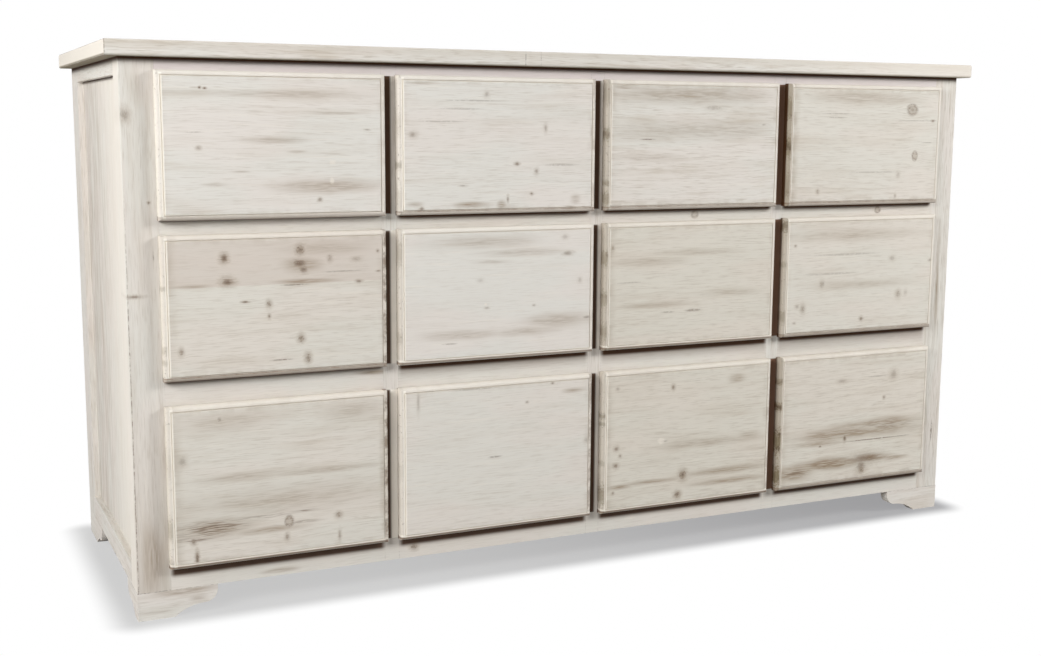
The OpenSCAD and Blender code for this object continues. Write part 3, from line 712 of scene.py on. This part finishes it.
def slab_tones(pine, colour):
    """The slab is browner along its top, paler to the right, painted light on its left end, and olive
    underneath, partly stain and partly painted shade.
    """
    x, y, z = pine.place
    along_top = z.over(SLAB_LOW + 9, SLAB_HIGH - 7) * z.over(SLAB_HIGH - 0.1, SLAB_HIGH - 1)
    colour = pine.mix(along_top * 0.3, colour, WASH_THIN)
    colour = pine.mix(x.over(150, 800) * 0.6, colour, WASH_CREAM)
    colour = pine.mix(x.over(1 - SLAB_X, 0.4 - SLAB_X), colour, WASH_CREAM)
    corner = abs(x + SLAB_X - 1.2).over(0.9, 0.3) * pine.chip.over(0.35, 0.55)
    colour = pine.mix(corner * 0.7, colour, BROWN)
    end_edge = x.over(0.6 - SLAB_X, 0.2 - SLAB_X) * z.over(SLAB_LOW + 4.5, SLAB_LOW + 1.5)
    colour = pine.mix(end_edge * (pine.chip * 0.6 + 0.5), colour, OLIVE)
    colour = pine.mix(z.over(SLAB_LOW + 5, SLAB_LOW + 0.6) * 0.35, colour, OLIVE)
    return pine.mix(z.over(SLAB_LOW + 0.6, SLAB_LOW + 0.2) * 0.7, colour, OLIVE)


def panel_tones(pine, colour):
    """The side panels are painted paler towards the front and darker, tan along the streaks, towards the
    back: painted light and shade, as the light falls off towards the back.
    """
    y = pine.place[1]
    colour = pine.mix(y.over(120, -200) * 0.7, colour, WASH_CREAM)
    return pine.mix(y.over(-150, 205) * pine.streak.over(0.3, 0.75) * 0.5, colour, TAN)


def lilac_tones(pine, colour):
    """The top rail is a little lilac."""
    return pine.mix(0.5, colour, LILAC)


def by_column(x, values):
    """One number for each column, changing where two columns meet."""
    picked = values[0]
    for column in range(1, 4):
        meet = PITCH * (column - 2)
        picked = x.over(meet - 1, meet + 1) * (values[column] - values[column - 1]) + picked
    return picked


def painted_shadow_under(edge, deep, reach, strength=0.94):
    """The painted shadow on a rail beneath its fronts: a dark line over a wider, fainter brown band.

    Measured down from the edge, it is full as far as deep and fades over reach, by column.
    """

    def darken(pine, colour):
        x, y, z = pine.place
        from_middle = abs((x - PITCH / 2).math("WRAP", PITCH / 2, -PITCH / 2))
        beneath = from_middle.over(FRONT_HALF + 1, FRONT_HALF - 10)
        below = edge - z - by_column(x, deep)
        colour = pine.mix(below.over(by_column(x, reach), 0) * beneath * 0.5, colour, BROWN)
        return pine.mix(below.over(6.5, 0) * beneath * strength, colour, PAINTED_SHADE)

    return darken


def finish_case():
    top_edge, mid_edge, low_edge = [low for low, high in ROW_EDGES]
    board_ends = [("X", -148, 0.6), ("X", -119, 0.4)]
    rail_ends = [
        ("X", PITCH * (column - 2.5) + side, 0.15)
        for column in COLUMNS
        for side in (-RAIL_HALF, RAIL_HALF)
    ]
    foot_joint = [("Z", FOOT_TOP, 0.5)]
    # A painted shadow along the top of the side panels, under the side's top rail
    shade_under_side_rail = [("Z", 858, 863.5, 0.9, PAINTED_SHADE)]

    top_boards = washed("top_boards", "X", 1.7, 0.8, 0.03, board_ends, extra=slab_tones)
    paint_nodes(top_boards, "top_board")
    top_rail = washed("top_rail", "X", 2.9, 0.3, 0.0, rail_ends, (), SHADE_UNDER_SLAB, lilac_tones)
    paint_nodes(top_rail, "face_top_rail")
    marks = (("ring", 207, 629, 15, 13, 0.55), ("ring", 633, 629, 14, 12, 0.75))
    # A painted shadow beneath the fronts above this rail
    dark_band = painted_shadow_under(top_edge, (-1.5, 2, 2, 2), (7, 12, 12, 12))
    upper_rails = washed("upper_rails", "X", 2.3, 0.3, 0.05, rail_ends, marks, extra=dark_band)
    paint_nodes(upper_rails, "upper_rails")
    marks = (("smear", -420, 378, 60, 10, 0.7),)
    # A painted shadow beneath the fronts above this rail
    dark_band = painted_shadow_under(mid_edge, (1, 6, 8, 5.5), (9, 26, 26, 34))
    lower_rails = washed("lower_rails", "X", 4.6, 0.25, 0.05, rail_ends, marks, extra=dark_band)
    paint_nodes(lower_rails, "lower_rails")
    marks = (
        ("knot", -350, 64, 12, 10, 0.8), ("smear", -587, 55, 66, 9, 0.6), ("pale", 81, 64, 30, 8, 0.5),
    )
    # A painted shadow beneath the fronts above this rail
    dark_band = painted_shadow_under(low_edge, (10.5, 10, 9, 7), (11, 11, 11, 11), 0.88)
    bottom_rail = washed("bottom_rail", "X", 3.3, 0.15, 0.1, rail_ends, marks, extra=dark_band)
    paint_nodes(bottom_rail, "face_bottom_rail")

    marks = (
        ("spot", 802, -812, 20, 14, 0.5), ("smear", 845, -795, 60, 22, 0.3),
        ("spot", 669, -781, 4, 4, 0.7), ("line", 585, -777, 20, 3, 0.5),
        ("spot", 524, -808, 5, 22, 0.6), ("smear", 100, -792, 110, 34, 0.5),
    )
    left_post = washed("left_post", "Z", 4.1, 0.4, 0.03, foot_joint, marks, SHADE_UNDER_SLAB, post_stain)
    paint_nodes(left_post, "corner_post_left")
    marks = (
        ("line", 166, 800, 46, 4, 0.9), ("smear", 480, 795, 240, 8, 0.6),
        ("smear", 250, 780, 200, 6, 0.6),
    )
    right_post = washed("right_post", "Z", 5.2, 0.8, 0.04, foot_joint, marks, SHADE_UNDER_SLAB)
    paint_nodes(right_post, "corner_post_right")
    back_posts = washed("back_posts", "Z", 5.9, stains=SHADE_UNDER_SLAB)
    paint_nodes(back_posts, "back_post_left", "back_post_right")
    stiles = washed("stiles", "Z", 6.4, stains=SHADE_UNDER_SLAB, extra=stile_channels)
    paint_nodes(stiles, "mid_stiles")

    side_top_rails = washed("side_top_rails", "Y", 7.7, 0.5, 0.08, stains=SHADE_UNDER_SLAB)
    paint_nodes(side_top_rails, "side_top_rails")
    side_bottom_rails = washed("side_bottom_rails", "Y", 7.1, 0.6, seams=foot_joint)
    paint_nodes(side_bottom_rails, "side_bottom_rails")
    side_boards = washed("side_boards", "Z", 8.2, 0.6, stains=shade_under_side_rail, extra=panel_tones)
    paint_nodes(side_boards, "side_panels")
    marks = (
        ("smear", -745, 41, 100, 12, 0.6), ("smear", -790, 12, 60, 8, 0.3),
        ("smear", -725, 28, 30, 14, 0.4),
    )
    feet_front = washed("feet_front", "X", 9.6, 0.5, seams=foot_joint, marks=marks)
    paint_nodes(feet_front, "foot_fronts")
    feet_side = washed("feet_side", "Y", 10.3, 0.5, seams=foot_joint)
    paint_nodes(feet_side, "foot_sides_front", "foot_sides_back")

    paint_nodes(bare("bare_long", "X", 11.8), "back_rails", "foot_backs")
    paint_nodes(bare("bare_upright", "Z", 12.5), "back_panel", "foot_blocks")
    paint_nodes(bare("bare_deep", "Y", 13.9), "runners", "guides", "top_kickers", "bottom_board")


def finish_drawers():
    deep = bare("drawer_sides", "Y", 14.4)
    wide = bare("drawer_panels", "X", 15.2)
    for row in ROWS:
        for column in COLUMNS:
            name = f"r{row}c{column}"
            seed = row * 5.3 + column * 3.1
            paint_nodes(drawer_front(name, FRONTS[name], seed), f"drawer_front_{name}")
            paint_nodes(deep, f"drawer_sides_{name}")
            paint_nodes(wide, f"drawer_panels_{name}")


# ------------------------------------------------------------------ studio

WHITE = (1.0, 1.0, 1.0, 1.0)
AMBIENT = (0.06, 0.06, 0.06, 1.0)

# The lamps: name, place, the point it looks at, width and height in metres, and watts
SOFT_BOXES = (
    ("left_light", (-3.0, -2.6, 2.3), (0.0, -0.2, 0.5), 1.3, 1.3, 64),
    ("side_light", (-3.4, -1.3, 1.9), (0.0, -0.2, 0.5), 1.3, 1.3, 68),
    ("right_light", (2.9, -2.4, 2.2), (0.0, -0.2, 0.5), 1.3, 1.3, 108),
    ("top_light", (0.0, 0.6, 3.0), (0.0, 0.0, 0.0), 2.4, 1.6, 12),
    ("back_light", (0.6, 3.4, 1.6), (0.0, 0.2, 0.4), 2.0, 1.4, 90),
)

# The floor: its radius in metres, its glow in the painted shadow from left to right, how much of
# the lamps' light it shows there, and how pale it is to the light that bounces off it
FLOOR_REACH = 6.0
FLOOR_SIDES = 64
GLOW_LEFT = (0.55, 0.55, 0.55, 1.0)
GLOW_RIGHT = (0.33, 0.33, 0.34, 1.0)
FLOOR_LIT = (0.11, 0.11, 0.11, 1.0)
FLOOR_BOUNCE = (0.55, 0.55, 0.55, 1.0)

# How far from the case the floor's painted shadow is full and where it ends, in mm
SHADOW_FULL = 6
SHADOW_END = 64


def soft_box(name, centre, aim, width, height, watts):
    """A rectangular softbox that looks at a point."""
    lamp = bpy.data.lights.new(name, "AREA")
    lamp.shape = "RECTANGLE"
    lamp.size = width
    lamp.size_y = height
    lamp.energy = watts
    box = bpy.data.objects.new(name, lamp)
    bpy.context.scene.collection.objects.link(box)
    box.location = centre
    box.rotation_mode = "QUATERNION"
    box.rotation_quaternion = (Vector(aim) - Vector(centre)).to_track_quat("-Z", "Y")


def seen_directly(finish):
    """1 for rays from the camera, a mirror or glass, 0 for the light that falls on things."""
    camera, glossy, through = [
        finish.node("ShaderNodeLightPath", output=name)
        for name in ("Is Camera Ray", "Is Glossy Ray", "Is Transmission Ray")
    ]
    return (camera + glossy + through).lower(1.0)


def light_world():
    """An even grey light from all sides, seen as white."""
    world = bpy.data.worlds.new("studio")
    bpy.context.scene.world = world
    finish = Finish(world)
    colour = finish.mix(seen_directly(finish), AMBIENT, WHITE)
    sky = finish.node("ShaderNodeBackground", {}, {"Color": colour, "Strength": 1.0})
    finish.end(sky, "ShaderNodeOutputWorld")


def floor_finish():
    """Seen as white but for a soft shadow under and round the cabinet: the lamps' faint real shadow over a
    painted shadow, a glow below white that is darker to the right.
    """
    finish = Finish(bpy.data.materials.new("pale_floor"))
    x, y, z = finish.axes()
    beside_x = (abs(x) - CASE_X).higher(0.0)
    beside_y = (abs(y - MIDDLE_Y) + FACE_Y - MIDDLE_Y).higher(0.0)
    away = (beside_x * beside_x + beside_y * beside_y).root()
    lit = finish.node("ShaderNodeBsdfDiffuse", {}, {"Color": FLOOR_LIT})
    # Painted shadow: the floor near the case glows less than white, darker to the right
    shade = finish.mix(x.over(-600, 900), GLOW_LEFT, GLOW_RIGHT)
    glow = finish.node("ShaderNodeEmission", {}, {"Color": shade, "Strength": 1.0})
    near = finish.node("ShaderNodeAddShader", {}, {0: lit, 1: glow})
    far = finish.node("ShaderNodeEmission", {}, {"Color": WHITE, "Strength": 1.0})
    share = away.over(SHADOW_FULL, SHADOW_END)
    seen = finish.node("ShaderNodeMixShader", {}, {0: share, 1: near, 2: far})
    unseen = finish.node("ShaderNodeBsdfDiffuse", {}, {"Color": FLOOR_BOUNCE})
    inputs = {0: seen_directly(finish), 1: unseen, 2: seen}
    finish.end(finish.node("ShaderNodeMixShader", {}, inputs))
    return finish.owner


def lay_floor():
    mesh = bpy.data.meshes.new("floor")
    made = bmesh.new()
    bmesh.ops.create_circle(made, cap_ends=True, radius=FLOOR_REACH, segments=FLOOR_SIDES)
    made.to_mesh(mesh)
    made.free()
    mesh.materials.append(floor_finish())
    floor = bpy.data.objects.new("floor", mesh)
    bpy.context.scene.collection.objects.link(floor)


place_camera()
finish_case()
finish_drawers()
light_world()
for settings in SOFT_BOXES:
    soft_box(*settings)
lay_floor()

bpy.context.scene.view_settings.view_transform = "Standard"
